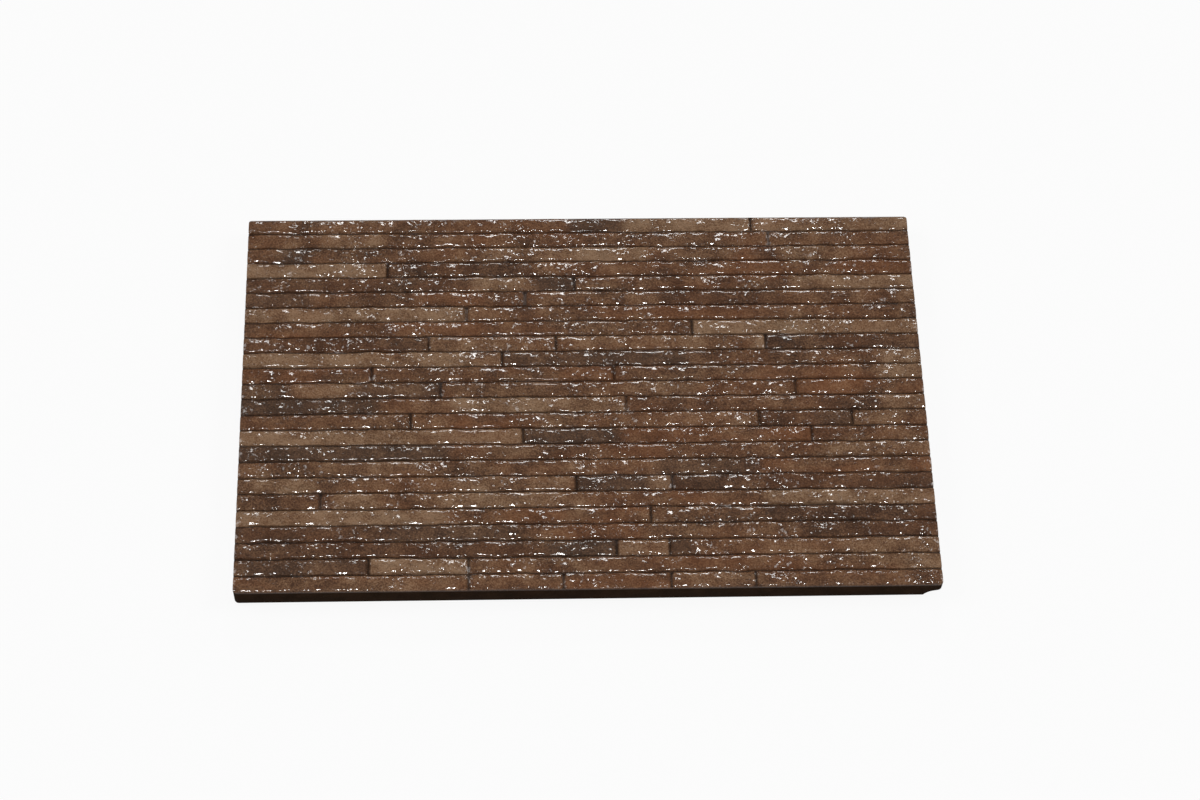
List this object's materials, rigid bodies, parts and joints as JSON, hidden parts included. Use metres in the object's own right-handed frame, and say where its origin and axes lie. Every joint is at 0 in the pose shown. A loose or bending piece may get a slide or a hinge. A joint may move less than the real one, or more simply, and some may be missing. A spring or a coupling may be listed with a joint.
{
  "type": "porcelain tile",
  "caption": "Rectangular glazed porcelain wall tile whose face is pressed into thin ledger-stone courses along its length.",
  "frame": {"origin": "centre of the flat back", "axes": "+X along the courses, +Y towards the far long edge, +Z out of the face"},
  "size_m": [0.4, 0.25, 0.016],
  "materials": {
    "glazed_porcelain": "brown stone-look glaze, mottled tan, grey and rust, glossy on the split edges"
  },
  "bodies": {
    "root": {"porcelain_tile": "glazed_porcelain"}
  },
  "joints": []
}
